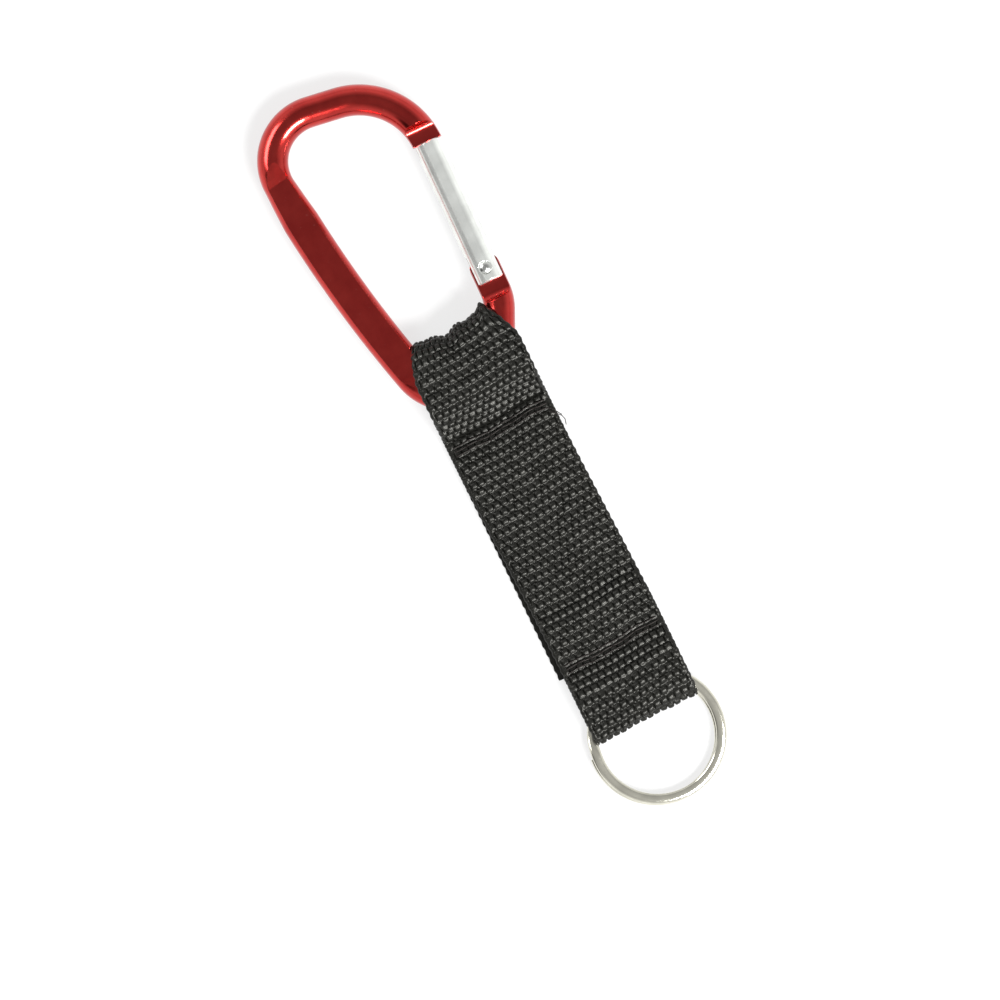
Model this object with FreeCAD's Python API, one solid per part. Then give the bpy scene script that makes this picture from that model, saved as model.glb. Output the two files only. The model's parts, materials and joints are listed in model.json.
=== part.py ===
"""Carabiner keyring: an anodised carabiner and a split ring joined by a folded webbing strap.

The object lies flat with +Z up. The strap runs along Y, with the carabiner at its +Y end and
the split ring at its -Y end. Lengths are in millimetres and angles in degrees. The origin is
at the bottom centre of the whole object's box.
"""
import FreeCAD, Part

import math
import os

from FreeCAD import Placement, Rotation, Vector

# Carabiner rod. Its path lies in a plane of its own: the hinge rivet is at (0, 0), the gate
# points along +Y and the spine is on the -X side.
ROD_RADIUS = 3.4
SPINE_WIDTH = 8.1
SPINE_THICKNESS = 4.7
SPINE_FLAT_START = -14.4
SPINE_FLAT_END = 35.4
SPINE_LEAN = 10.2
SPINE_WIDENING = 9.0
PRESS_RAMP_SLOPE = 0.24
PRESS_DEPTH = 3.0
BOTTOM_BEND = Vector(-13.65, -12.0, 0)
BOTTOM_BEND_RADIUS = 10.45
LEG_BEND_RADIUS = 10.0
TOP_BEND = Vector(-22.0, 35.8, 0)
TOP_BEND_RADIUS = 11.1
SPINE_BOW_RADIUS = 280.0
LONG_AXIS_MARGIN = 0.0001
NOSE_BEND_RADIUS = 16.3
NOSE_BEND_HEIGHT = 29.8

# Tangs milled at the rod's two ends
TANG_THICKNESS = 2.5
TANG_COVE_RADIUS = 2.2
HINGE_TANG_ROOT = -5.0
HINGE_TANG_TOP = 2.4
NOSE_TANG_ROOT = 32.3
NOSE_TANG_TIP = 28.0
NOSE_TONGUE_WIDTH = 5.0

# Gate
GATE_RADIUS = 3.2
GATE_BOTTOM = -3.0
GATE_TOP = 30.1
GATE_SLOT_WIDTH = 2.8
HINGE_SLOT_END = 3.7
NOSE_SLOT_START = 27.4
GATE_BORE_RADIUS = 1.7
GATE_BORE_END = 20.0
GATE_EDGE_BREAK = 0.25
RIVET_RADIUS = 0.9
RIVET_HEAD_RADIUS = 1.3
RIVET_HEAD_HEIGHT = 0.45
RIVET_FIT = 0.05
SPOT_FACE_HEIGHT = 2.8
SPOT_FACE_MARGIN = 0.2
PLUNGER_RADIUS = 1.6
PLUNGER_LENGTH = 4.0
PLUNGER_GAP = 0.05
PLUNGER_EDGE_BREAK = 0.2
SPRING_WIRE_RADIUS = 0.2
SPRING_RADIUS = 1.3
SPRING_TURNS = 10

# How the carabiner lies: its narrow end rests on the strap, so it tips down to its wide end
RIVET_PLACE = (12.21, 64.7)
CARABINER_YAW = -1.25
CARABINER_TILT = -1.55

# Strap: webbing 25 mm wide
PLY = 1.6
STRAP_WIDTH = 25.0
FLEX_GAP = 0.15
UPPER_FLEX_Y = 35.6
LOWER_FLEX_Y = -23.6
FOLD_Y = 57.0
FOLD_RADIUS = 5.1
CREST_Y = 42.6
CREST_HEIGHT = 5.25
CREST_RADIUS = 5.2
ROD_CLEARANCE = 0.12
POCKET_TIP_RADIUS = 0.2
POCKET_TIP_OFFSET = 0.7
POCKET_TIP_RISE = 0.3

# Narrowing of the carabiner loop: distance from its fold, then what is missing at -X and at +X
FOLD_TAPER = [(-9.0, 0.0, 0.0), (-4.0, 1.8, 2.6), (1.0, 3.2, 5.0)]

# Flat plies between the two loops
BACK_PLY_END = -22.6
RETURN_PLY_END = -12.4
STEP_START = -8.0
STEP_END = -12.0

# Loop round the split ring
RING_LOOP_SHIFT = 1.1
RING_FOLD_Y = -38.5
RING_FOLD_RADIUS = 3.0
RING_CREST_Y = -28.4
RING_CREST_RADIUS = 3.5
RING_CLEARANCE = 0.15

# Seams: rows of stitches across the strap
THREAD_RADIUS = 0.25
THREAD_LIFT = 0.02
STITCH_LENGTH = 2.8
STITCHES = 8
SEAM_ROWS = 3
ROW_PITCH = 0.8
UPPER_SEAM_Y = 33.2
LOWER_SEAM_Y = -19.6

# Split ring: two coils of flat wire
RING_CENTRE = (1.4, -42.4)
RING_RADIUS = 15.0
RING_WIRE_WIDTH = 2.3
RING_WIRE_HEIGHT = 1.25
RING_WIRE_ROUNDING = 0.35
COIL_GAP = 0.05
RING_TILT = 4.4
RING_JOG_ANGLE = 24
RING_JOG_START = 150

# Side view: drawn X becomes Y, drawn Y becomes Z and extrusion runs along X
SIDE_VIEW = Placement(Vector(), Rotation(Vector(1, 1, 1), 120))


def polar(centre, radius, angle):
    """Point on a circle, at an angle in degrees."""
    turn = math.radians(angle)
    return centre + Vector(radius * math.cos(turn), radius * math.sin(turn), 0)


def arc(centre, radius, start, end):
    """Arc edge between two angles."""
    stops = [polar(centre, radius, angle) for angle in (start, (start + end) / 2, end)]
    return Part.Arc(*stops).toShape()


def line(start, end):
    return Part.LineSegment(start, end).toShape()


def direction(start, end):
    """Angle of the line between two points, in degrees."""
    return math.degrees(math.atan2(end.y - start.y, end.x - start.x))


def tangent_angle(centre, radius, next_centre, next_radius):
    """Angle at which a counter-clockwise belt leaves one circle for the next."""
    distance = centre.distanceToPoint(next_centre)
    wrap = math.degrees(math.acos((radius - next_radius) / distance))
    return direction(centre, next_centre) - wrap


def belt(*circles):
    """Face inside a belt pulled round circles (x, y, radius), in counter-clockwise order."""
    centres = [Vector(x, y, 0) for x, y, _ in circles]
    radii = [radius for _, _, radius in circles]
    following = list(range(1, len(circles))) + [0]
    leave = [
        tangent_angle(centres[i], radii[i], centres[j], radii[j]) for i, j in enumerate(following)
    ]
    edges = []
    for i, j in enumerate(following):
        start = leave[i - 1]
        end = leave[i] + 360 * math.ceil((start - leave[i]) / 360)
        edges.append(arc(centres[i], radii[i], start, end))
        edges.append(line(polar(centres[i], radii[i], end), polar(centres[j], radii[j], end)))
    return Part.Face(Part.Wire(edges))


def polygon(points):
    """Face with straight sides, in the XY plane."""
    corners = [Vector(x, y, 0) for x, y in points]
    return Part.Face(Part.makePolygon(corners + corners[:1]))


def across_strap(face, width, middle=0):
    """Prism of a side-view face across the strap."""
    solid = face.extrude(Vector(0, 0, width))
    solid.Placement = SIDE_VIEW
    solid.translate(Vector(middle - width / 2, 0, 0))
    return solid


def box(low, high):
    size = [b - a for a, b in zip(low, high)]
    return Part.makeBox(*size, Vector(*low))


def cylinder(radius, start, end):
    """Round rod between two points."""
    return Part.makeCylinder(radius, start.distanceToPoint(end), start, end - start)


def both_sides(shape):
    """The shape together with its mirror image in the XY plane."""
    return shape.fuse(shape.mirror(Vector(), Vector(0, 0, 1)))


# Carabiner body ------------------------------------------------------------------------------


def spine_bow_centre():
    """Centre of the spine's large arc, which both bends touch from inside."""
    chord = TOP_BEND - BOTTOM_BEND
    to_top = SPINE_BOW_RADIUS - TOP_BEND_RADIUS
    to_bottom = SPINE_BOW_RADIUS - BOTTOM_BEND_RADIUS
    along = (to_bottom**2 - to_top**2 + chord.Length**2) / (2 * chord.Length)
    aside = math.sqrt(to_bottom**2 - along**2)
    unit = Vector(chord).normalize()
    return BOTTOM_BEND + unit * along + Vector(unit.y, -unit.x, 0) * aside


def rod_path():
    """Edges of the rod's centre line, from the nose round to the hinge."""
    nose_bend = Vector(-NOSE_BEND_RADIUS, NOSE_BEND_HEIGHT, 0)
    bow = spine_bow_centre()
    leg_bend = Vector(-LEG_BEND_RADIUS, HINGE_TANG_ROOT, 0)
    top = tangent_angle(nose_bend, NOSE_BEND_RADIUS, TOP_BEND, TOP_BEND_RADIUS)
    spine_top = direction(bow, TOP_BEND) % 360
    spine_bottom = direction(bow, BOTTOM_BEND) % 360
    leg = tangent_angle(BOTTOM_BEND, BOTTOM_BEND_RADIUS, leg_bend, LEG_BEND_RADIUS) % 360
    full_width = spine_top + math.degrees(SPINE_WIDENING / SPINE_BOW_RADIUS)
    return [
        line(Vector(0, NOSE_TANG_TIP, 0), Vector(0, NOSE_BEND_HEIGHT, 0)),
        arc(nose_bend, NOSE_BEND_RADIUS, 0, top),
        line(polar(nose_bend, NOSE_BEND_RADIUS, top), polar(TOP_BEND, TOP_BEND_RADIUS, top)),
        arc(TOP_BEND, TOP_BEND_RADIUS, top, spine_top),
        arc(bow, SPINE_BOW_RADIUS, spine_top, full_width),
        arc(bow, SPINE_BOW_RADIUS, full_width, spine_bottom),
        arc(BOTTOM_BEND, BOTTOM_BEND_RADIUS, spine_bottom, leg),
        line(polar(BOTTOM_BEND, BOTTOM_BEND_RADIUS, leg), polar(leg_bend, LEG_BEND_RADIUS, leg)),
        arc(leg_bend, LEG_BEND_RADIUS, leg, 360),
        line(Vector(0, HINGE_TANG_ROOT, 0), Vector(0, ROD_RADIUS, 0)),
    ]


def rod_section(edge, at_end, half_width, half_height):
    """Elliptical wire square to an edge of the path, at its start or its end."""
    parameter = edge.LastParameter if at_end else edge.FirstParameter
    centre = edge.valueAt(parameter)
    along = edge.tangentAt(parameter)
    ellipse = Part.Ellipse(Vector(), half_width + LONG_AXIS_MARGIN, half_height).toShape()
    up = Vector(0, 0, 1)
    ellipse.Placement = Placement(centre, Rotation(up.cross(along), up, along))
    return Part.Wire(ellipse)


def rod_span(edges, start_width, end_width, height):
    """Solid swept along some edges of the path, between two half widths."""
    pipe = Part.BRepOffsetAPI.MakePipeShell(Part.Wire(edges))
    pipe.setBiNormalMode(Vector(0, 0, 1))
    pipe.add(rod_section(edges[0], False, start_width, height))
    if end_width != start_width:
        pipe.add(rod_section(edges[-1], True, end_width, height))
    pipe.build()
    pipe.makeSolid()
    return pipe.shape()


def bent_rod(extra=0.0):
    """The rod swept along its path, wider along the spine; extra thickens it all round."""
    path = rod_path()
    height = ROD_RADIUS + extra
    spine = SPINE_WIDTH / 2 + extra
    spans = [
        rod_span(path[:4], height, height, height),
        rod_span(path[4:5], height, spine, height),
        rod_span(path[5:6], spine, spine, height),
        rod_span(path[6:7], spine, height, height),
        rod_span(path[7:], height, height, height),
    ]
    return spans[0].fuse(spans[1:])


def press_tool():
    """What pressing takes off the spine's upper side: a flat with a sloping end at each end."""
    run = PRESS_DEPTH / PRESS_RAMP_SLOPE
    top = SPINE_THICKNESS / 2
    profile = polygon([
        (SPINE_FLAT_START, top),
        (SPINE_FLAT_END, top),
        (SPINE_FLAT_END + run, top + PRESS_DEPTH),
        (SPINE_FLAT_START - run, top + PRESS_DEPTH),
    ])
    tool = across_strap(profile, 4 * SPINE_WIDTH)
    middle = Vector(0, (SPINE_FLAT_START + SPINE_FLAT_END) / 2, 0)
    bow = spine_bow_centre()
    spine_x = bow.x - math.sqrt(SPINE_BOW_RADIUS**2 - (middle.y - bow.y) ** 2)
    lean = Rotation(Vector(0, 0, 1), SPINE_LEAN)
    to_spine = Placement(middle + Vector(spine_x, 0, 0) - lean.multVec(middle), lean)
    tool.Placement = to_spine.multiply(tool.Placement)
    return tool


def tang_tool(root, tip):
    """What milling takes off a rod end's upper side: a flat with a coved shoulder."""
    reach = 2 * ROD_RADIUS
    floor = TANG_THICKNESS / 2
    low, high = sorted((root, tip))
    flat = box((-reach, low, floor), (reach, high, floor + reach))
    cove_axis = floor + TANG_COVE_RADIUS
    cove = cylinder(TANG_COVE_RADIUS, Vector(-reach, root, cove_axis), Vector(reach, root, cove_axis))
    return flat.fuse(cove)


def make_carabiner_body():
    rod = bent_rod()
    tang_end = cylinder(ROD_RADIUS, Vector(0, 0, -ROD_RADIUS), Vector(0, 0, ROD_RADIUS))
    beyond = 2 * ROD_RADIUS
    round_off = box((-beyond, 0, -beyond), (beyond, beyond, beyond)).cut(tang_end)
    chord = box((-beyond, HINGE_TANG_TOP, -beyond), (beyond, beyond, beyond))
    hole_radius = RIVET_RADIUS + RIVET_FIT
    hole = cylinder(hole_radius, Vector(0, 0, -beyond), Vector(0, 0, beyond))
    tongue_side = box((NOSE_TONGUE_WIDTH / 2, 0, -beyond), (beyond, GATE_TOP, beyond))
    tongue_side = tongue_side.cut(box((0, 0, -beyond), (beyond, NOSE_TANG_TIP - 1, beyond)))
    tongue_sides = tongue_side.fuse(tongue_side.mirror(Vector(), Vector(1, 0, 0)))
    body = rod.cut(both_sides(press_tool())).cut(tongue_sides)
    body = body.cut(both_sides(tang_tool(HINGE_TANG_ROOT, beyond)))
    body = body.cut(both_sides(tang_tool(NOSE_TANG_ROOT, NOSE_TANG_TIP - 1)))
    return body.cut(round_off.fuse(chord)).cut(hole)


# Gate ----------------------------------------------------------------------------------------


def make_gate_barrel():
    barrel = cylinder(GATE_RADIUS, Vector(0, GATE_BOTTOM, 0), Vector(0, GATE_TOP, 0))
    rims = [edge for edge in barrel.Edges if isinstance(edge.Curve, Part.Circle)]
    barrel = barrel.makeChamfer(GATE_EDGE_BREAK, rims)
    reach = 2 * GATE_RADIUS
    half_slot = GATE_SLOT_WIDTH / 2
    hinge_slot = box((-reach, GATE_BOTTOM - 1, -half_slot), (reach, HINGE_SLOT_END, half_slot))
    nose_slot = box((-reach, NOSE_SLOT_START, -half_slot), (reach, GATE_TOP + 1, half_slot))
    bore = cylinder(GATE_BORE_RADIUS, Vector(0, GATE_BOTTOM - 1, 0), Vector(0, GATE_BORE_END, 0))
    spot_radius = RIVET_HEAD_RADIUS + SPOT_FACE_MARGIN
    spot = cylinder(spot_radius, Vector(0, 0, SPOT_FACE_HEIGHT), Vector(0, 0, reach))
    hole = cylinder(RIVET_RADIUS, Vector(0, 0, -reach), Vector(0, 0, reach))
    return barrel.cut([hinge_slot, nose_slot, bore, both_sides(spot), hole])


def make_gate_rivet():
    top = SPOT_FACE_HEIGHT + RIVET_HEAD_HEIGHT
    shank = cylinder(RIVET_RADIUS, Vector(0, 0, -SPOT_FACE_HEIGHT), Vector(0, 0, SPOT_FACE_HEIGHT))
    dome_radius = (RIVET_HEAD_RADIUS**2 + RIVET_HEAD_HEIGHT**2) / (2 * RIVET_HEAD_HEIGHT)
    dome = Part.makeSphere(dome_radius, Vector(0, 0, top - dome_radius))
    slab = cylinder(RIVET_HEAD_RADIUS, Vector(0, 0, SPOT_FACE_HEIGHT), Vector(0, 0, top + 1))
    return shank.fuse(both_sides(dome.common(slab)))


def make_gate_plunger():
    tip = HINGE_TANG_TOP + PLUNGER_GAP
    plunger = cylinder(PLUNGER_RADIUS, Vector(0, tip, 0), Vector(0, tip + PLUNGER_LENGTH, 0))
    rims = [edge for edge in plunger.Edges if isinstance(edge.Curve, Part.Circle)]
    return plunger.makeChamfer(PLUNGER_EDGE_BREAK, rims)


def make_gate_spring():
    start = HINGE_TANG_TOP + PLUNGER_GAP + PLUNGER_LENGTH + SPRING_WIRE_RADIUS
    length = GATE_BORE_END - start - SPRING_WIRE_RADIUS
    helix = Part.makeHelix(length / SPRING_TURNS, length, SPRING_RADIUS)
    wire_end = Part.Circle(Vector(SPRING_RADIUS, 0, 0), Vector(0, 1, 0), SPRING_WIRE_RADIUS)
    coil = Part.Wire(helix).makePipeShell([Part.Wire(wire_end.toShape())], True, True)
    coil.rotate(Vector(), Vector(1, 0, 0), -90)
    coil.translate(Vector(0, start, 0))
    return coil


# Strap ---------------------------------------------------------------------------------------


def make_carabiner_loop(rod_envelope):
    """Loop of webbing through the carabiner, narrowed where it is wedged between the rods."""
    crest = (CREST_Y, CREST_HEIGHT)
    fold = (FOLD_Y - FOLD_RADIUS, FOLD_RADIUS)
    outside = belt((UPPER_FLEX_Y, PLY, PLY), (*fold, FOLD_RADIUS), (*crest, CREST_RADIUS))
    tip = (UPPER_FLEX_Y + POCKET_TIP_OFFSET, PLY + POCKET_TIP_RISE, POCKET_TIP_RADIUS)
    pocket = belt(tip, (*fold, FOLD_RADIUS - PLY), (*crest, CREST_RADIUS - PLY))
    band = across_strap(outside.cut(pocket), STRAP_WIDTH)
    half = STRAP_WIDTH / 2
    start = UPPER_FLEX_Y - FOLD_RADIUS
    right = [(half - gone, FOLD_Y + along) for along, _, gone in FOLD_TAPER]
    left = [(gone - half, FOLD_Y + along) for along, gone, _ in reversed(FOLD_TAPER)]
    plan = polygon([(-half, start), (half, start), *right, *left])
    loop = band.common(plan.extrude(Vector(0, 0, 3 * FOLD_RADIUS))).cut(rod_envelope)
    return max(loop.Solids, key=lambda solid: solid.Volume)


def make_ring_loop(ring_envelope):
    """Loop of webbing round the split ring, notched where the ring leaves it."""
    crest = (RING_CREST_Y, RING_CREST_RADIUS)
    fold = (RING_FOLD_Y + RING_FOLD_RADIUS, RING_FOLD_RADIUS)
    outside = belt((*crest, RING_CREST_RADIUS), (*fold, RING_FOLD_RADIUS))
    pocket = belt((*crest, RING_CREST_RADIUS - PLY), (*fold, RING_FOLD_RADIUS - PLY))
    band = across_strap(outside.cut(pocket), STRAP_WIDTH, RING_LOOP_SHIFT)
    flat_end = LOWER_FLEX_Y - PLY - FLEX_GAP
    keep = box((-STRAP_WIDTH, 2 * RING_FOLD_Y, -1), (STRAP_WIDTH, flat_end, STRAP_WIDTH))
    loop = band.common(keep).cut(ring_envelope)
    return max(loop.Solids, key=lambda solid: solid.Volume)


def nose_quarter(upper):
    """Quarter round that ends the front ply (upper) or the return ply at the lower flex line."""
    centre = Vector(LOWER_FLEX_Y, 2 * PLY, 0)
    start, end = (90, 180) if upper else (180, 270)
    rim = arc(centre, PLY, start, end)
    sides = [line(centre, polar(centre, PLY, start)), rim, line(polar(centre, PLY, end), centre)]
    return across_strap(Part.Face(Part.Wire(sides)), STRAP_WIDTH)


def make_front_ply():
    top = UPPER_FLEX_Y - PLY - FLEX_GAP
    side = polygon([
        (top, PLY),
        (top, 2 * PLY),
        (STEP_START, 2 * PLY),
        (STEP_END, 3 * PLY),
        (LOWER_FLEX_Y, 3 * PLY),
        (LOWER_FLEX_Y, 2 * PLY),
        (STEP_END, 2 * PLY),
        (STEP_START, PLY),
    ])
    return across_strap(side, STRAP_WIDTH).fuse(nose_quarter(upper=True)).removeSplitter()


def make_back_ply():
    top = UPPER_FLEX_Y - PLY - FLEX_GAP
    side = polygon([(BACK_PLY_END, 0), (top, 0), (top, PLY), (BACK_PLY_END, PLY)])
    return across_strap(side, STRAP_WIDTH)


def make_return_ply():
    side = polygon([
        (LOWER_FLEX_Y, PLY), (RETURN_PLY_END, PLY), (RETURN_PLY_END, 2 * PLY), (LOWER_FLEX_Y, 2 * PLY)
    ])
    return across_strap(side, STRAP_WIDTH).fuse(nose_quarter(upper=False)).removeSplitter()


def make_seam(first_row, top):
    """Rows of lock stitches through the plies below the given height."""
    half = STITCHES * STITCH_LENGTH / 2
    bottom = THREAD_RADIUS + THREAD_LIFT
    rows = []
    for row in range(SEAM_ROWS):
        y = first_row - row * ROW_PITCH
        threads = [
            cylinder(THREAD_RADIUS, Vector(-half, y, z), Vector(half, y, z)) for z in (bottom, top)
        ]
        for stitch in range(STITCHES + 1):
            x = -half + stitch * STITCH_LENGTH
            threads.append(cylinder(THREAD_RADIUS, Vector(x, y, bottom), Vector(x, y, top)))
            threads += [Part.makeSphere(THREAD_RADIUS, Vector(x, y, z)) for z in (bottom, top)]
        rows.append(threads[0].fuse(threads[1:]))
    return Part.makeCompound(rows)


# Split ring ----------------------------------------------------------------------------------


def ring_place():
    """Tilt of the ring: it leans on the strap and its far edge is on the floor."""
    height = RING_WIRE_HEIGHT + COIL_GAP / 2
    tilt = math.radians(RING_TILT)
    z = RING_RADIUS * math.sin(tilt) + height * math.cos(tilt)
    return Placement(Vector(*RING_CENTRE, z), Rotation(Vector(1, 0, 0), RING_TILT))


def wire_section(level, angle):
    """Rounded rectangle of flat wire, centred at a height, on a half-plane through the axis."""
    half_width = RING_WIRE_WIDTH / 2 - RING_WIRE_ROUNDING
    half_height = RING_WIRE_HEIGHT / 2 - RING_WIRE_ROUNDING
    corners = [(-half_width, -half_height), (half_width, -half_height),
               (half_width, half_height), (-half_width, half_height)]
    outline = belt(*[(x, y, RING_WIRE_ROUNDING) for x, y in corners]).OuterWire
    outline.Placement = Placement(
        Vector(RING_RADIUS - RING_WIRE_WIDTH / 2, 0, level), Rotation(Vector(1, 0, 0), 90)
    )
    outline.rotate(Vector(), Vector(0, 0, 1), angle)
    return outline


def make_split_ring():
    """Two coils, joined by a short rise from the lower one to the upper one."""
    level = (RING_WIRE_HEIGHT + COIL_GAP) / 2
    sweep = 360 - RING_JOG_ANGLE
    axis = Vector(0, 0, 1)
    jog_end = RING_JOG_START + RING_JOG_ANGLE
    lower = Part.Face(wire_section(-level, jog_end)).revolve(Vector(), axis, sweep)
    upper = Part.Face(wire_section(level, jog_end)).revolve(Vector(), axis, sweep)
    steps = 8
    sections = []
    for step in range(steps + 1):
        part = step / steps
        rise = part * part * (3 - 2 * part)
        sections.append(wire_section(level * (2 * rise - 1), RING_JOG_START + part * RING_JOG_ANGLE))
    jog = Part.makeLoft(sections, True)
    return lower.fuse([jog, upper])


def ring_sweep():
    """Space that the ring turns in, with its clearance."""
    half = RING_WIRE_HEIGHT + COIL_GAP / 2 + RING_CLEARANCE
    low, high = Vector(0, 0, -half), Vector(0, 0, half)
    inner = RING_RADIUS - RING_WIRE_WIDTH - RING_CLEARANCE
    return cylinder(RING_RADIUS + RING_CLEARANCE, low, high).cut(cylinder(inner, low, high))


# Assembly ------------------------------------------------------------------------------------


def placed(shape, placement):
    copy = shape.copy()
    copy.Placement = placement.multiply(copy.Placement)
    return copy


def carabiner_place(body):
    """Where the carabiner lies: yawed, tipped, and resting on the floor at its wide end."""
    turn = Rotation(Vector(1, 0, 0), CARABINER_TILT).multiply(Rotation(Vector(0, 0, 1), CARABINER_YAW))
    lowest = placed(body, Placement(Vector(), turn)).optimalBoundingBox().ZMin
    return Placement(Vector(*RIVET_PLACE, -lowest), turn)


def assemble():
    """All nodes in place, with the floor at z = 0."""
    body = make_carabiner_body()
    rest = carabiner_place(body)
    ring = ring_place()
    upper_seam = make_seam(UPPER_SEAM_Y, 2 * PLY)
    lower_seam = make_seam(LOWER_SEAM_Y, 3 * PLY)
    seams = Part.makeCompound([upper_seam, lower_seam])
    return {
        "carabiner_body": placed(body, rest),
        "gate_barrel": placed(make_gate_barrel(), rest),
        "gate_rivet": placed(make_gate_rivet(), rest),
        "gate_plunger": placed(make_gate_plunger(), rest),
        "gate_spring": placed(make_gate_spring(), rest),
        "webbing_carabiner_loop": make_carabiner_loop(placed(bent_rod(ROD_CLEARANCE), rest)),
        "webbing_front_ply": make_front_ply().cut(seams),
        "webbing_back_ply": make_back_ply().cut(seams),
        "webbing_return_ply": make_return_ply().cut(seams),
        "upper_seam_thread": upper_seam,
        "lower_seam_thread": lower_seam,
        "webbing_ring_loop": make_ring_loop(placed(ring_sweep(), ring)),
        "split_ring": placed(make_split_ring(), ring),
    }


def joint_axes(shift):
    """A point on each joint's axis and the axis, in the part's frame."""
    rest = carabiner_place(make_carabiner_body())
    ring = ring_place()
    gate_along = rest.Rotation.multVec(Vector(0, 1, 0))
    return {
        "gate_hinge": (rest.Base + shift, rest.Rotation.multVec(Vector(0, 0, 1))),
        "plunger_slide": (rest.Base + shift, gate_along),
        "strap_flex": (Vector(0, UPPER_FLEX_Y, PLY) + shift, Vector(1, 0, 0)),
        "ring_loop_flex": (Vector(0, LOWER_FLEX_Y, 2 * PLY) + shift, Vector(1, 0, 0)),
        "ring_spin": (ring.Base + shift, ring.Rotation.multVec(Vector(0, 0, 1))),
    }


nodes = assemble()
whole = Part.makeCompound(list(nodes.values())).optimalBoundingBox()
origin_shift = Vector(-whole.Center.x, -whole.Center.y, -whole.ZMin)

os.makedirs("parts", exist_ok=True)
for name, shape in nodes.items():
    shape.translate(origin_shift)
    shape.exportStep(f"parts/{name}.step")
    print(name, "solids", len(shape.Solids), "volume", round(shape.Volume, 2), "valid", shape.isValid())

print("size", [round(length, 2) for length in (whole.XLength, whole.YLength, whole.ZLength)])
for name, (point, axis) in joint_axes(origin_shift).items():
    print(name, "through", point, "along", axis)
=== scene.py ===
"""Looks of a carabiner keyring: anodised rod and gate, woven webbing strap, stitching and split ring.

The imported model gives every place. Lengths in this file are in millimetres, in the part's own
frame, and MM turns them into metres where a mesh, a light or the camera is made.
"""

import json
import math

import bpy
import numpy as np
from mathutils import Matrix, Vector


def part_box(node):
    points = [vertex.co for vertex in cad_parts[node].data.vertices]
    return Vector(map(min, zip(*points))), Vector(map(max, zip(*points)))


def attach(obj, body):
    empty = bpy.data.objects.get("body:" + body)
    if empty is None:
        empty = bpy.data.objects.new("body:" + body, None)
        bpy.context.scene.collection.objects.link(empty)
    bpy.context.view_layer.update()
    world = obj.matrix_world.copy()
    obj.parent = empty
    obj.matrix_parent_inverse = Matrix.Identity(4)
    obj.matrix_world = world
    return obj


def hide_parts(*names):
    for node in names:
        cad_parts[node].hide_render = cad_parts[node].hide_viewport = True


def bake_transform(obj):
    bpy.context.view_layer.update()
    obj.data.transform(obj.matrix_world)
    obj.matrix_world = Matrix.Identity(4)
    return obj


MM = 0.001
SHARP_ANGLE = math.radians(75)  # edges bent more than this stay crisp

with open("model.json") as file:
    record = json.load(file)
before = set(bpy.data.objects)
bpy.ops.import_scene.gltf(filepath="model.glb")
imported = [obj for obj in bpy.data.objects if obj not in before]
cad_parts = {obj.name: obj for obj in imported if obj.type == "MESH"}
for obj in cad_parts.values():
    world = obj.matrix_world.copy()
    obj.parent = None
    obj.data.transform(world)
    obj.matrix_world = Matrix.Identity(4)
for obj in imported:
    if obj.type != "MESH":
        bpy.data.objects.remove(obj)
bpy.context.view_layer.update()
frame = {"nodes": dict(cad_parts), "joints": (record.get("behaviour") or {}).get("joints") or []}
joints = {joint["name"]: joint for joint in frame["joints"]}

# Webbing: a ribbed tape whose warp floats are the bumps that show
ROW_PITCH = 1.97
COLUMNS = 15
CELL_STEPS = 8  # points along and across each float
INNER_STEPS = 30  # points across the hidden face
FLOAT_HEIGHT = 0.6
FLOAT_WIDTH = 0.96  # share of its cell that a float fills across the tape
FLOAT_LENGTH = 0.85  # the same along the tape
ACROSS_POWER = 2.5  # 2 is a round float, more is a flatter one
ALONG_POWER = 2.0
LEVEL_SPREAD = 0.05  # how unevenly the floats stand out
NUDGE_SPREAD = 0.07  # how unevenly they lie along the tape
YARN_GROOVE = 0.06  # the line between the two yarns of a float
YARN_GROOVE_WIDTH = 0.12  # share of its cell
SELVAGE = 0.95  # width of the closed edge
SELVAGE_STEPS = 5
SELVAGE_LEVEL = 0.55
SELVAGE_CHAIN = 0.35
EDGE_POWER = 24  # how square the tape's edges are
INNER_SINK = 0.25  # how far the hidden face lies inside the tape's thickness
SCALLOP = 0.1  # sideways wave of the edges
SCALLOP_POWER = 20  # how little of the face that wave moves
WEAVE_SEED = 11

# How the strap lies
ROW_RISE = 1.0  # the rows on the gate's side have slipped towards the carabiner
ROW_RISE_START = -3  # place across the strap
ROW_RISE_WIDTH = 12
FRONT_DRIFT = 1.1  # the front has wandered off the back, sideways
LINE_SOFTENING = 1.2  # length over which the corners of the side view are rounded
FINE_STEP = 0.1
CREST_SETBACK = 7.0  # from the upper flex line to the crest over the carabiner's rod
CREST_SLOPE = 52  # degrees
RING_CREST_SETBACK = 4.8  # from the lower flex line, on the ring's side, to the crest over the ring
RING_CLIMB_SETBACK = 1.2  # from the same line, on the strap's side, to the start of the climb to it
RING_FOLD_RADIUS = 3.0  # outside of the fold round the ring
TAIL_STEP = (4.4, 0.4)  # start and end of the front's climb onto the tail, beyond the tail's tip
SEAM_SETBACK = 3.2  # from a flex line to its seam

# Fold at the carabiner
FOLD_REACH = 7  # how far from the fold's end it is crumpled
FOLD_FADE = 6
FOLD_DIP = (-1.0, -2.2, 2.6)  # how far it stands out, place across the strap, half width
FOLD_EAR = (2.3, 7.7, 1.25)  # the same
FOLD_RIPPLE = 0.25
PINCH_REACH = 10  # how far from the fold's end its edges are drawn in
PINCH_FADE = 9
PINCH_HEIGHT = 3.2
LEFT_PINCH = (1.4, 2.2)  # how far the edge is drawn in, and how much more halfway up
RIGHT_PINCH = (2.6, 2.0)

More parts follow.
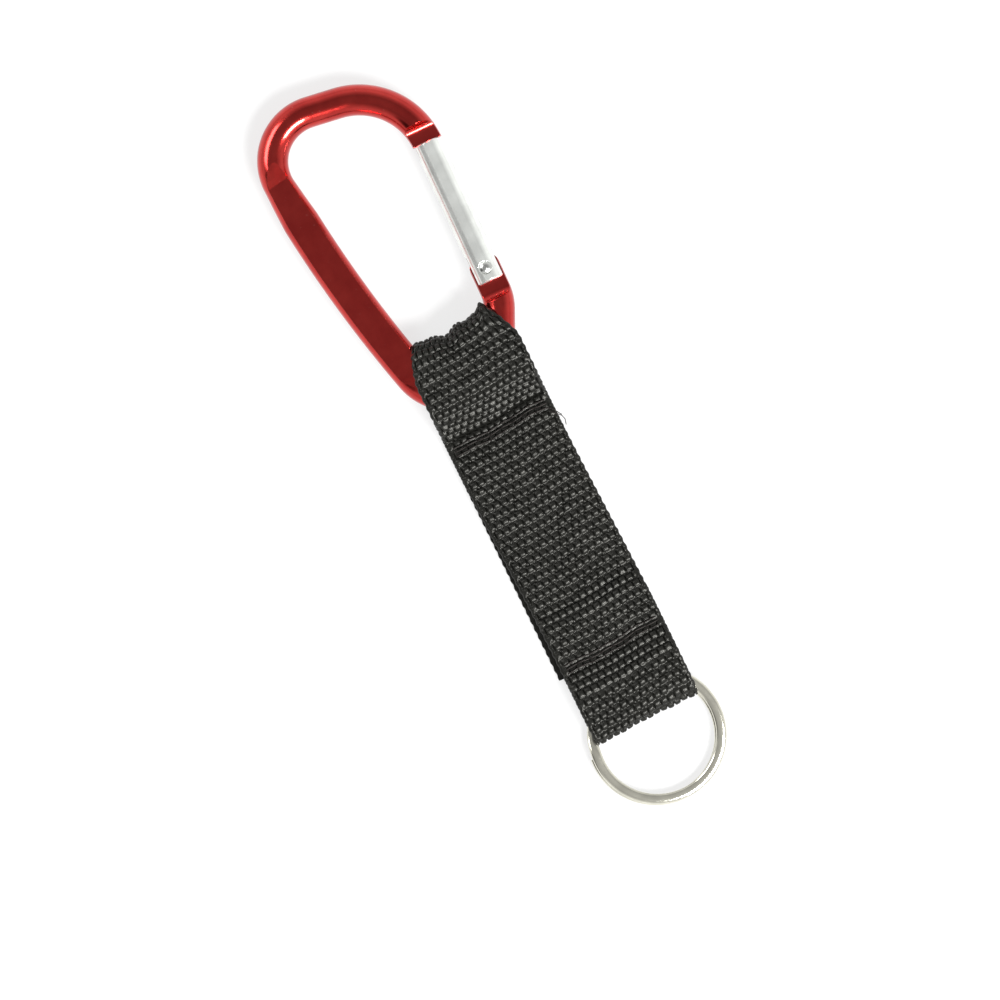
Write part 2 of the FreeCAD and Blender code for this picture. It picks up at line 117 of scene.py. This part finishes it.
# Fold at the ring
RING_FADE_SETBACK = 3  # from the lower flex line
RING_FADE = 6
RING_CORNER_START = 2  # place across the strap
RING_CORNER_WIDTH = 12
RING_CORNER_DROP = 0.55
RING_RIPPLE = 0.1

# Seams
THREAD_RADIUS = 0.14
STITCH_LENGTH = 2.8
STITCHES = 8
STITCH_STEPS = 14
STITCH_DIP = 0.45
STITCH_POWER = 0.4  # 1 is a round stitch, less is a flatter one
STITCH_WANDER = 0.12
SEAM_ROWS = 3
SEAM_SINK = 0.1
SEAM_HALF_WIDTH = 1.3
SEAM_FLATTENING = 0.65
SEAM_LEVEL = 0.7
THREAD_STEP = 0.2  # length of thread between two rings of points, for its fibres
LOOSE_END_SHARE = 0.7  # of the thread's radius
LOOSE_END_STEPS = 40
LOOSE_ENDS = [  # x and y from the low corner of the upper seam, z from its top
    [(22.6, -0.4, -0.2), (23.8, -1.6, 0.1), (24.6, -2.4, 0), (24.9, -3.4, -0.5), (24.6, -4.6, -0.9)],
    [(22.6, 0.4, -0.2), (23.6, -0.5, 0), (24.4, -1.8, -0.2), (24.7, -2.2, -0.6)],
]

# Split ring
COIL_STEPS = 220
WIRE_STEPS = 28
WIRE_WIDTH = 2.3
WIRE_HEIGHT = 1.25
WIRE_POWER = 2.3  # 2 is an oval wire, more is a flatter one
COIL_GAP = 0.05
JOG_START = 150
JOG_ANGLE = 24
LOWER_COIL_OFFSET = Vector((-0.4, -0.22, 0))

# Camera: straight above, turned so that the strap runs from the upper left to the lower right.
# Its aim is measured from the point of the floor under the upper flex line.
CAMERA_AIM = Vector((-6.92, -17.28, 3.4))
CAMERA_TURN = -26.0
CAMERA_DISTANCE = 1200.0
VIEW_WIDTH = 216.45
FLOOR_REACH = 3000.0

# Light: the room's brightness by height, 0 at the horizon and 1 overhead
ROOM_LEVELS = [(0.0, 0.8), (0.35, 0.95), (0.6, 0.6), (0.85, 0.26), (1.0, 0.32)]
ROOM_WARMTH = 0.985
DARK_SCREEN_DIRECTION = (-0.86, 0.0, 0.51)
# The screen's brightness by the cosine of the angle from its middle
DARK_SCREEN = {"From Min": 0.91, "From Max": 0.97, "To Min": 1.0, "To Max": 0.08}
SOFT_BOXES = [  # name, place, width, height, power in watts
    ("key", (200, -520, 660), 420, 240, 18),
    ("fill", (-420, 520, 520), 420, 300, 3),
]


def joint_place(name):
    """A joint's point, in millimetres."""
    return Vector(joints[name]["pos_m"]) / MM


def box(node):
    """A CAD node's lowest and highest corners, in millimetres."""
    return [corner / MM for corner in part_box(node)]


def smoothstep(x):
    """0 below 0, 1 above 1 and a smooth climb between."""
    x = np.clip(x, 0, 1)
    return x * x * (3 - 2 * x)


def bell(x, middle, half_width):
    """1 at the middle, falling to nothing on both sides."""
    return np.exp(-(((x - middle) / half_width) ** 2))


# Node helpers --------------------------------------------------------------------------------


class Nodes:
    """A material's node tree, with short calls for adding nodes."""

    def __init__(self, name):
        self.material = bpy.data.materials.new(name)
        self.material.use_nodes = True
        self.tree = self.material.node_tree
        self.shader = self.tree.nodes["Principled BSDF"]

    def set(self, **values):
        """Constant values on the shader; an underscore in a name stands for a space."""
        for name, value in values.items():
            self.shader.inputs[name.replace("_", " ")].default_value = value

    def node(self, kind, links=None, **settings):
        """A new node; each input takes a constant or the output that it is joined to."""
        node = self.tree.nodes.new(kind)
        for name, value in settings.items():
            setattr(node, name, value)
        for name, value in (links or {}).items():
            if isinstance(value, bpy.types.NodeSocket):
                self.tree.links.new(value, node.inputs[name])
            else:
                node.inputs[name].default_value = value
        return node

    def feed(self, socket, value):
        self.tree.links.new(value, self.shader.inputs[socket])

    def noise(self, vector, scale, detail=3.0, roughness=0.55):
        links = {"Vector": vector, "Scale": scale, "Detail": detail, "Roughness": roughness}
        return self.node("ShaderNodeTexNoise", links).outputs["Fac"]

    def scaled(self, vector, scale):
        return self.node("ShaderNodeMapping", {"Vector": vector, "Scale": scale}).outputs["Vector"]

    def remap(self, value, low, high, start, end):
        links = {"Value": value, "From Min": low, "From Max": high, "To Min": start, "To Max": end}
        return self.node("ShaderNodeMapRange", links).outputs["Result"]

    def mix(self, factor, first, second):
        mix = self.node("ShaderNodeMix", data_type="RGBA")
        for index, value in ((0, factor), (6, first), (7, second)):
            if isinstance(value, bpy.types.NodeSocket):
                self.tree.links.new(value, mix.inputs[index])
            else:
                mix.inputs[index].default_value = value
        return mix.outputs[2]

    def bump(self, height, distance, strength=1.0, normal=None):
        links = {"Height": height, "Distance": distance * MM, "Strength": strength}
        if normal:
            links["Normal"] = normal
        return self.node("ShaderNodeBump", links).outputs["Normal"]

    def place(self):
        return self.node("ShaderNodeTexCoord").outputs["Object"]


def red_anodised():
    """Dyed and sealed aluminium: a coloured metal under a clear layer, with fine specks."""
    n = Nodes("red_anodised")
    n.set(Metallic=1.0, Coat_Weight=0.35, Coat_Roughness=0.12, Coat_IOR=1.6)
    place = n.place()
    mottle = n.noise(place, 220, detail=4)
    deep, bright = (0.47, 0.022, 0.018, 1), (0.56, 0.034, 0.027, 1)
    colour = n.mix(n.remap(mottle, 0.35, 0.65, 0, 1), deep, bright)
    specks = n.remap(n.noise(place, 2600, detail=1), 0.76, 0.82, 0, 1)
    n.feed("Base Color", n.mix(specks, colour, (0.8, 0.3, 0.27, 1)))
    n.feed("Roughness", n.remap(n.noise(place, 500, detail=5), 0.3, 0.7, 0.16, 0.2))
    soft_edge = n.node("ShaderNodeBevel", {"Radius": 0.25 * MM}, samples=6).outputs["Normal"]
    n.feed("Normal", n.bump(n.noise(place, 900, detail=4), 0.0025, normal=soft_edge))
    return n.material


def drawn_metal(name, base, edge_radius, roughness, along=None, metallic=1.0):
    """Bright metal with fine lines along a direction, or scattered where none is given."""
    n = Nodes(name)
    n.set(Metallic=metallic)
    place = n.place()
    if along is not None:
        turn = along.to_track_quat("Z", "Y").inverted().to_euler()
        links = {"Vector": place, "Rotation": turn}
        turned = n.node("ShaderNodeMapping", links).outputs["Vector"]
        grain_place = n.scaled(turned, (1, 1, 0.03))
    else:
        grain_place = place
    grain = n.noise(grain_place, 3200, detail=5, roughness=0.7)
    dull = n.noise(place, 260, detail=3)
    dark = tuple(channel * 0.84 for channel in base)
    n.feed("Base Color", n.mix(n.remap(dull, 0.35, 0.7, 0, 1), (*base, 1), (*dark, 1)))
    n.feed("Roughness", n.remap(grain, 0.25, 0.75, roughness * 0.75, roughness * 1.35))
    soft_edge = n.node("ShaderNodeBevel", {"Radius": edge_radius * MM}, samples=6).outputs["Normal"]
    n.feed("Normal", n.bump(grain, 0.004, normal=soft_edge))
    return n.material


def tape_yarn(name, base, roughness):
    """Black filament yarn: fine fibres along the tape, paler in patches and in dusty spots."""
    n = Nodes(name)
    n.set(Specular_IOR_Level=0.26, Specular_Tint=(1, 0.99, 0.92, 1))
    along_tape = n.node("ShaderNodeUVMap", uv_map="tape").outputs["UV"]
    place = n.place()
    fibres = n.noise(n.scaled(along_tape, (1.0, 0.16, 1.0)), 13000, detail=2)
    patches = n.noise(place, 90, detail=3)
    lint = n.remap(n.noise(n.scaled(place, (1, 0.35, 1)), 1500, detail=2), 0.72, 0.8, 0, 0.5)
    pale = tuple(channel * 1.6 for channel in base)
    colour = n.mix(n.remap(patches, 0.35, 0.65, 0, 1), (*base, 1), (*pale, 1))
    colour = n.mix(n.remap(fibres, 0.3, 0.75, 0, 0.5), colour, (0.0065, 0.0065, 0.0058, 1))
    n.feed("Base Color", n.mix(lint, colour, (0.07, 0.07, 0.065, 1)))
    n.feed("Roughness", n.remap(fibres, 0.3, 0.7, roughness - 0.06, roughness + 0.1))
    n.feed("Normal", n.bump(fibres, 0.05, strength=0.7))
    return n.material


def floor_paint():
    """Pale floor that glows a little, so that the shadows on it stay faint."""
    n = Nodes("white_floor")
    n.set(Roughness=0.9, Specular_IOR_Level=0.1)
    n.set(Emission_Strength=0.74, Emission_Color=(1, 1, 1, 1))
    grain = n.noise(n.place(), 30, detail=2)
    n.feed("Base Color", n.mix(grain, (0.16, 0.16, 0.16, 1), (0.17, 0.17, 0.17, 1)))
    return n.material


# Meshes --------------------------------------------------------------------------------------


def ring_faces(rings, around):
    """Quads between rings of points, each ring closed."""
    i, j = np.meshgrid(np.arange(rings - 1), np.arange(around), indexing="ij")
    a = i * around + j
    b = i * around + (j + 1) % around
    return np.stack([a, b, b + around, a + around], axis=-1).reshape(-1, 4)


def make_mesh(name, points, faces, material):
    """Smooth-shaded object from points in millimetres."""
    mesh = bpy.data.meshes.new(name)
    mesh.from_pydata((points * MM).tolist(), [], faces)
    mesh.polygons.foreach_set("use_smooth", [True] * len(mesh.polygons))
    mesh.materials.append(material)
    mesh.update()
    mesh.set_sharp_from_angle(angle=SHARP_ANGLE)
    piece = bpy.data.objects.new(name, mesh)
    bpy.context.scene.collection.objects.link(piece)
    return piece


def swept(sections):
    """Points and faces of a closed solid through rings of points, shape (rings, points, 3)."""
    rings, around, _ = sections.shape
    points = sections.reshape(-1, 3)
    faces = ring_faces(rings, around).tolist()
    faces.append(list(range(around))[::-1])
    faces.append(list(range((rings - 1) * around, rings * around)))
    return points, faces


def tube(path, radius, sides=10):
    """Rings of points round a line of points."""
    along = np.gradient(path, axis=0)
    along /= np.linalg.norm(along, axis=1)[:, None]
    side = np.cross(along, [0.13, 0.21, 0.97])
    side /= np.linalg.norm(side, axis=1)[:, None]
    up = np.cross(side, along)
    turn = np.linspace(0, 2 * math.pi, sides, endpoint=False)
    ring = side[:, None] * np.cos(turn)[None, :, None] + up[:, None] * np.sin(turn)[None, :, None]
    return path[:, None] + ring * radius


# Webbing -------------------------------------------------------------------------------------

flex = joint_place("strap_flex")
ring_flex = joint_place("ring_loop_flex")
back_low, back_high = box("webbing_back_ply")
loop_high = box("webbing_carabiner_loop")[1]
ring_loop_low, ring_loop_high = box("webbing_ring_loop")
return_high = box("webbing_return_ply")[1]
PLY = back_high.z
HALF_WIDTH = (back_high.x - back_low.x) / 2
FOLD_Y = loop_high.y
CREST_Y = flex.y + CREST_SETBACK
CREST_Z = loop_high.z - PLY / 2
SPLIT_Y = flex.y - SEAM_SETBACK
COLUMN_PITCH = 2 * (HALF_WIDTH - SELVAGE) / (COLUMNS - 1)


def side_arc(y, z, radius, start, end):
    """Points of an arc in the side view; angles in degrees from +Y towards +Z."""
    return [
        (y + radius * math.cos(math.radians(a)), z + radius * math.sin(math.radians(a)))
        for a in np.linspace(start, end, 13)
    ]


def upper_line():
    """Middle of the tape from the back, round the carabiner's end, to the front."""
    middle = PLY / 2
    radius = (CREST_Z - middle) / 2
    fold_y = FOLD_Y - middle - radius
    foot = 3 * middle
    slope = math.radians(CREST_SLOPE)
    crest_end_z = CREST_Z - radius * (1 - math.cos(slope))
    crest_end_y = CREST_Y - radius * math.sin(slope)
    foot_y = crest_end_y - (crest_end_z - foot) / math.tan(slope)
    return [
        (SPLIT_Y, middle),
        (fold_y, middle),
        *side_arc(fold_y, middle + radius, radius, -90, 90),
        *side_arc(CREST_Y, CREST_Z - radius, radius, 90, 90 + CREST_SLOPE),
        (foot_y, foot),
        (SPLIT_Y, foot),
    ]


def lower_line():
    """Middle of the tape from the front, round the ring, to the tucked-in end."""
    middle = PLY / 2
    step_start, step_end = (return_high.y + beyond for beyond in TAIL_STEP)
    crest_z = ring_loop_high.z - middle
    crest_y = ring_flex.y - RING_CREST_SETBACK
    crest_radius = crest_z - ring_loop_high.z / 2
    fold_radius = RING_FOLD_RADIUS - middle
    fold_y = ring_loop_low.y + RING_FOLD_RADIUS
    return [
        (SPLIT_Y, 3 * middle),
        (step_start, 3 * middle),
        (step_end, 5 * middle),
        (ring_flex.y + RING_CLIMB_SETBACK, 5 * middle),
        *side_arc(crest_y, crest_z - crest_radius, crest_radius, 60, 90),
        *side_arc(fold_y, RING_FOLD_RADIUS, fold_radius, 90, 270),
        (crest_y, middle),
        (ring_flex.y, 3 * middle),
        (return_high.y, 3 * middle),
    ]


def resample(line, step, softening):
    """Evenly spaced points along a line, with its corners softened over a length."""

    def spaced(points, spacing):
        run = np.concatenate([[0], np.cumsum(np.linalg.norm(np.diff(points, axis=0), axis=1))])
        count = max(2, round(run[-1] / spacing) + 1)
        stops = np.linspace(0, run[-1], count)
        return np.stack([np.interp(stops, run, points[:, k]) for k in (0, 1)], axis=1)

    points = spaced(np.array(line, float), FINE_STEP)
    reach = int(2 * softening / FINE_STEP)
    weights = bell(np.arange(-reach, reach + 1) * FINE_STEP, 0, softening)
    weights /= weights.sum()
    first, last = points[0], points[-1]
    ahead = points[:1] - (points[1] - first) * np.arange(reach, 0, -1)[:, None]
    beyond = points[-1:] + (last - points[-2]) * np.arange(1, reach + 1)[:, None]
    padded = np.concatenate([ahead, points, beyond])
    soft = np.stack([np.convolve(padded[:, k], weights, mode="valid") for k in (0, 1)], axis=1)
    return spaced(soft, step)


def weave(rng, across, along):
    """Height of the tape's face, 0 to 1, for places across and along it."""
    rows = int(along.max() / ROW_PITCH) + 3
    level = rng.normal(1, LEVEL_SPREAD, (rows, COLUMNS + 3))
    nudge = rng.normal(0, NUDGE_SPREAD, (rows, COLUMNS + 3))
    row = np.floor(along / ROW_PITCH).astype(int)
    v = along / ROW_PITCH - row
    u = (across + HALF_WIDTH - SELVAGE) / COLUMN_PITCH + 0.5 * (row % 2)
    column = np.floor(u).astype(int)
    cell = (np.clip(row + 1, 0, rows - 1), np.clip(column + 1, 0, COLUMNS + 2))
    u = u - column
    v = np.clip(v + nudge[cell] * np.sin(math.pi * v), 0, 1)
    off_across = np.clip(np.abs(2 * u - 1) / FLOAT_WIDTH, 0, 1)
    off_along = np.clip(np.abs(2 * v - 1) / FLOAT_LENGTH, 0, 1)
    round_across = (1 - off_across ** ACROSS_POWER) ** (1 / ACROSS_POWER)
    round_along = (1 - off_along ** ALONG_POWER) ** (1 / ALONG_POWER)
    two_yarns = 1 - YARN_GROOVE * bell(u, 0.5, YARN_GROOVE_WIDTH)
    face = level[cell] * round_across * round_along * two_yarns
    chain = np.abs(np.sin(math.pi * along / ROW_PITCH * 2 + np.sign(across)))
    at_edge = smoothstep((np.abs(across) - (HALF_WIDTH - SELVAGE)) / 0.25)
    return face * (1 - at_edge) + at_edge * (SELVAGE_LEVEL + SELVAGE_CHAIN * chain)


def tape_points(line):
    """Middle points of a tape along a line, an even number of rows long."""
    soft = resample(line, ROW_PITCH / 4, LINE_SOFTENING)
    length = np.linalg.norm(np.diff(soft, axis=0), axis=1).sum()
    rows = 2 * round(length / ROW_PITCH / 2)
    return resample(line, length / (rows * CELL_STEPS), LINE_SOFTENING)


def row_rise(x):
    """How far the rows have slipped towards the carabiner at a place across the strap."""
    return ROW_RISE * smoothstep((x - ROW_RISE_START) / ROW_RISE_WIDTH)


def tape_sections(points, left, right, seams, lift, rng):
    """Rings of points of a tape round its middle points, and where each one is on the tape.

    left and right are the edges' x at the middle points. seams are (y, z) places where a seam
    pulls the face down, above that z. lift gives how far a point stands out along the strap.
    """
    count = len(points)
    rows = (count - 1) / CELL_STEPS
    forward = np.gradient(points, axis=0)
    forward /= np.linalg.norm(forward, axis=1)[:, None]
    outward = np.stack([forward[:, 1], -forward[:, 0]], axis=1)
    first_rib = SELVAGE / HALF_WIDTH - 1
    ribs = np.linspace(first_rib, -first_rib, (COLUMNS - 1) * CELL_STEPS + 1)
    selvage = np.linspace(1, ribs[-1], SELVAGE_STEPS, endpoint=False)
    face_share = np.concatenate([-selvage, ribs, selvage[::-1]])
    inner = np.linspace(1, -1, INNER_STEPS + 2)[1:-1]
    share = np.concatenate([face_share, inner])[None, :]
    across = share * HALF_WIDTH
    along = np.linspace(0, rows * ROW_PITCH, count)[:, None] + 0 * across
    relief = weave(rng, across, along)
    seam = sum(bell(points[:, :1], y, SEAM_HALF_WIDTH) * (points[:, 1:] > z) for y, z in seams)
    edge = np.sqrt(np.clip(1 - np.abs(share) ** EDGE_POWER, 0, 1))
    relief = relief + (SEAM_LEVEL - relief) * SEAM_FLATTENING * seam
    face = PLY / 2 - FLOAT_HEIGHT * (1 - relief) - SEAM_SINK * seam
    is_face = np.arange(share.size)[None, :] < face_share.size
    out = np.where(is_face, face, -PLY / 2 + INNER_SINK) * edge
    x = (left + right)[:, None] / 2 + (right - left)[:, None] / 2 * share
    scallop = SCALLOP * np.sin(2 * math.pi * along / ROW_PITCH) * np.abs(share) ** SCALLOP_POWER
    slip = row_rise(across) * np.abs(forward[:, :1])
    y = points[:, :1] + outward[:, :1] * out + slip
    z = points[:, 1:] + outward[:, 1:] * out
    y = y + lift(x - flex.x, y, z)
    sections = np.stack([x + scallop * np.sign(share), y, z], axis=-1)
    return sections, np.stack([across + 0 * along, along], axis=-1)


def make_textile(name, lengths, material):
    """One piece from several lengths of tape or thread, with places along them as a UV map."""
    all_points, all_faces, all_tape = [], [], []
    offset = 0
    for sections, tape in lengths:
        points, faces = swept(sections)
        all_points.append(points)
        all_tape.append(tape.reshape(-1, 2))
        all_faces += [[corner + offset for corner in face] for face in faces]
        offset += len(points)
    piece = make_mesh(name, np.concatenate(all_points), all_faces, material)
    layer = piece.data.uv_layers.new(name="tape")
    corners = np.empty(len(piece.data.loops), int)
    piece.data.loops.foreach_get("vertex_index", corners)
    layer.data.foreach_set("uv", (np.concatenate(all_tape)[corners] * MM).ravel())
    return piece


def fold_lift(x, y, z):
    """How far the crumpled fold at the carabiner stands out along the strap."""
    near = smoothstep((y - (FOLD_Y - FOLD_REACH)) / FOLD_FADE)
    dip = FOLD_DIP[0] * bell(x, *FOLD_DIP[1:])
    ear = FOLD_EAR[0] * bell(x, *FOLD_EAR[1:]) * smoothstep((z - 4) / 4)
    ripple = FOLD_RIPPLE * np.sin(x * 1.3 + 0.6)
    return near * (dip + ear + ripple)


def ring_lift(x, y, z):
    """How far the fold at the ring stands out; its left corner hangs a little lower."""
    near = smoothstep((ring_flex.y - RING_FADE_SETBACK - y) / RING_FADE)
    corner = smoothstep((RING_CORNER_START - x) / RING_CORNER_WIDTH)
    return -near * (RING_CORNER_DROP * corner + RING_RIPPLE * np.sin(x * 1.1))


def no_lift(x, y, z):
    """The back lies flat."""
    return 0 * y


def front_drift(y):
    """How far the front of the strap has wandered sideways at a place along it."""
    start, end = flex.y - 3, ring_flex.y + 3
    return FRONT_DRIFT * smoothstep((start - y) / (start - end))


def make_webbing(material):
    """The tape in two pieces, which meet in a groove of the weave under the upper seam."""
    rng = np.random.default_rng(WEAVE_SEED)
    seams = [(SPLIT_Y, PLY), (ring_flex.y + SEAM_SETBACK, 2 * PLY)]

    points = tape_points(upper_line())
    y, z = points.T
    pinch = smoothstep((y - (FOLD_Y - PINCH_REACH)) / PINCH_FADE)
    at_side = bell(z, CREST_Z / 2, PINCH_HEIGHT)
    drift = front_drift(y) * (z > PLY)
    left = flex.x - HALF_WIDTH + pinch * (LEFT_PINCH[0] + LEFT_PINCH[1] * at_side) + drift
    right = flex.x + HALF_WIDTH - pinch * (RIGHT_PINCH[0] + RIGHT_PINCH[1] * at_side) + drift
    loop = tape_sections(points, left, right, seams, fold_lift, rng)

    points = tape_points(lower_line())
    y = points[:, 0]
    before_fold = np.arange(len(y)) < np.argmin(y)
    middle = flex.x + np.where(before_fold, front_drift(y), FRONT_DRIFT)
    front = tape_sections(points, middle - HALF_WIDTH, middle + HALF_WIDTH, seams, ring_lift, rng)

    points = tape_points([(back_low.y, PLY / 2), (SPLIT_Y, PLY / 2)])
    middle = np.full(len(points), flex.x)
    back = tape_sections(points, middle - HALF_WIDTH, middle + HALF_WIDTH, [], no_lift, rng)

    upper = make_textile("webbing_upper", [loop], material)
    lower = make_textile("webbing_lower", [front, back], material)
    return upper, lower


# Stitching and ring --------------------------------------------------------------------------


def stitch_row(y, top, middle):
    """Points along one row of stitches: level on top of each stitch, dipping at its ends."""
    half = STITCHES * STITCH_LENGTH / 2
    x = np.linspace(-half, half, STITCHES * STITCH_STEPS + 1)
    lift = np.abs(np.sin(math.pi * (x + half) / STITCH_LENGTH)) ** STITCH_POWER
    wander = STITCH_WANDER * np.sin(x * 0.9 + 7 * y) + row_rise(x)
    return np.stack([middle + x, y + wander, top - STITCH_DIP + STITCH_DIP * lift], axis=1)


def thread(path, radius):
    """Rings of points of a thread along a path, and where each one is on the thread."""
    sections = tube(path, radius)
    run = np.arange(sections.shape[0]) * THREAD_STEP
    turn = np.linspace(0, 2 * math.pi * radius, sections.shape[1])
    return sections, np.stack(np.meshgrid(turn, run), axis=-1)


def make_stitches(name, node, drift, ends, material):
    """Rows of stitches where the CAD threads are, and the loose ends of the sewing thread."""
    low, high = box(node)
    rows = np.linspace(low.y + THREAD_RADIUS, high.y - THREAD_RADIUS, SEAM_ROWS) - ROW_RISE / 2
    top = high.z - THREAD_RADIUS
    lengths = [thread(stitch_row(y, top, flex.x + drift), THREAD_RADIUS) for y in rows]
    for end in ends:
        path = np.array([(low.x + x, low.y + y, high.z + z) for x, y, z in end])
        stops = np.linspace(0, len(path) - 1, LOOSE_END_STEPS)
        curve = np.stack([np.interp(stops, np.arange(len(path)), path[:, k]) for k in range(3)], 1)
        lengths.append(thread(curve, THREAD_RADIUS * LOOSE_END_SHARE))
    return make_textile(name, lengths, material)


def make_ring(material):
    """Two coils of flat wire with rounded edges, the lower one slightly off centre."""
    spin = joints["ring_spin"]
    turn = Vector(spin["axis"]).to_track_quat("Z", "Y").to_matrix().to_4x4()
    place = Matrix.Translation(joint_place("ring_spin")) @ turn
    low, high = box("split_ring")
    radius = (high.x - low.x) / 2 - WIRE_WIDTH / 2
    level = (WIRE_HEIGHT + COIL_GAP) / 2
    coil = 360 - JOG_ANGLE
    start = JOG_START + JOG_ANGLE
    angle = np.linspace(0, 2 * coil + JOG_ANGLE, 2 * COIL_STEPS)
    climb = smoothstep((angle - coil) / JOG_ANGLE)
    theta = np.radians(start + angle)
    height = level * (2 * climb - 1)
    section = np.linspace(0, 2 * math.pi, WIRE_STEPS, endpoint=False)
    power = 2 / WIRE_POWER
    wide = np.sign(np.cos(section)) * np.abs(np.cos(section)) ** power * WIRE_WIDTH / 2
    tall = np.sign(np.sin(section)) * np.abs(np.sin(section)) ** power * WIRE_HEIGHT / 2
    reach = radius + wide[None, :]
    off = LOWER_COIL_OFFSET
    x = np.cos(theta)[:, None] * reach + off.x * (1 - climb)[:, None]
    y = np.sin(theta)[:, None] * reach + off.y * (1 - climb)[:, None]
    z = height[:, None] + tall[None, :]
    sections = np.stack([x, y, z], axis=-1)
    points, faces = swept(sections)
    points = points @ np.array(place.to_3x3()).T + np.array(place.translation)
    return make_mesh("split_ring_coils", points, faces, material)


# Scene ---------------------------------------------------------------------------------------


def make_floor():
    """Plain square of floor under the object."""
    corners = np.array([(-1, -1, 0), (1, -1, 0), (1, 1, 0), (-1, 1, 0)]) * FLOOR_REACH
    floor = make_mesh("floor", corners, [[0, 1, 2, 3]], floor_paint())


def make_camera():
    """Camera straight above the object."""
    camera = bpy.data.objects.new("camera", bpy.data.cameras.new("camera"))
    bpy.context.scene.collection.objects.link(camera)
    aim = Vector((flex.x, flex.y, 0)) + CAMERA_AIM
    camera.location = (aim + Vector((0, 0, CAMERA_DISTANCE))) * MM
    camera.rotation_euler = (0, 0, math.radians(CAMERA_TURN))
    camera.data.lens = camera.data.sensor_width * CAMERA_DISTANCE / VIEW_WIDTH
    camera.data.clip_end = 100.0
    bpy.context.scene.camera = camera


def area_light(name, place, width, height, power):
    """Soft box that faces the middle of the object; place is in millimetres."""
    data = bpy.data.lights.new(name, "AREA")
    data.shape = "RECTANGLE"
    data.size, data.size_y = width * MM, height * MM
    data.energy = power
    light = bpy.data.objects.new(name, data)
    bpy.context.scene.collection.objects.link(light)
    light.location = Vector(place) * MM
    light.rotation_euler = (-Vector(place)).to_track_quat("-Z", "Y").to_euler()


def make_light():
    """A pale room that is dimmer overhead, with a dark screen on the left, and two soft boxes."""
    world = bpy.data.worlds.new("studio")
    bpy.context.scene.world = world
    world.use_nodes = True
    tree = world.node_tree
    background = tree.nodes["Background"]
    direction = tree.nodes.new("ShaderNodeTexCoord").outputs["Generated"]
    split = tree.nodes.new("ShaderNodeSeparateXYZ")
    tree.links.new(direction, split.inputs["Vector"])
    ramp = tree.nodes.new("ShaderNodeValToRGB")
    tree.links.new(split.outputs["Z"], ramp.inputs["Fac"])
    while len(ramp.color_ramp.elements) < len(ROOM_LEVELS):
        ramp.color_ramp.elements.new(0.5)
    for element, (height, level) in zip(ramp.color_ramp.elements, ROOM_LEVELS):
        element.position = height
        element.color = (level, level, level * ROOM_WARMTH, 1)
    towards = tree.nodes.new("ShaderNodeVectorMath")
    towards.operation = "DOT_PRODUCT"
    tree.links.new(direction, towards.inputs[0])
    towards.inputs[1].default_value = DARK_SCREEN_DIRECTION
    screen = tree.nodes.new("ShaderNodeMapRange")
    screen.interpolation_type = "SMOOTHSTEP"
    tree.links.new(towards.outputs["Value"], screen.inputs["Value"])
    for name, value in DARK_SCREEN.items():
        screen.inputs[name].default_value = value
    tree.links.new(ramp.outputs["Color"], background.inputs["Color"])
    tree.links.new(screen.outputs["Result"], background.inputs["Strength"])
    for soft_box in SOFT_BOXES:
        area_light(*soft_box)


def dress_cad_nodes():
    """Materials of the CAD nodes that stay in view."""
    along_gate = Vector(joints["plunger_slide"]["axis"])
    pale = (0.86, 0.88, 0.85)
    finishes = {
        "carabiner_body": red_anodised(),
        "gate_barrel": drawn_metal("gate_aluminium", pale, 0.12, 0.2, along_gate, metallic=0.8),
        "gate_rivet": drawn_metal("rivet_metal", (0.75, 0.76, 0.74), 0.08, 0.22),
        "gate_plunger": drawn_metal("plunger_steel", (0.56, 0.56, 0.57), 0.05, 0.3, along_gate),
        "gate_spring": drawn_metal("spring_wire", (0.5, 0.5, 0.52), 0.02, 0.25),
    }
    for node, material in finishes.items():
        mesh = frame["nodes"][node].data
        mesh.materials.clear()
        mesh.materials.append(material)


def main():
    bpy.context.scene.view_settings.view_transform = "Standard"
    make_camera()
    make_light()
    make_floor()
    dress_cad_nodes()

    yarn = tape_yarn("black_webbing", (0.0035, 0.0035, 0.003), 0.33)
    upper, lower = make_webbing(yarn)
    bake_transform(upper)
    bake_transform(lower)
    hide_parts("webbing_carabiner_loop")
    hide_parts("webbing_front_ply", "webbing_back_ply", "webbing_return_ply", "webbing_ring_loop")

    sewing_thread = tape_yarn("black_thread", (0.01, 0.0072, 0.007), 0.5)
    for name, node, drift, ends in (
        ("upper_stitches", "upper_seam_thread", 0.0, LOOSE_ENDS),
        ("lower_stitches", "lower_seam_thread", FRONT_DRIFT, []),
    ):
        stitches = make_stitches(name, node, drift, ends, sewing_thread)
        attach(stitches, "strap")
        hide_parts(node)

    ring = make_ring(drawn_metal("nickel_plate", (0.76, 0.74, 0.64), 0.05, 0.12, metallic=0.92))
    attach(ring, "ring")
    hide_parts("split_ring")


main()
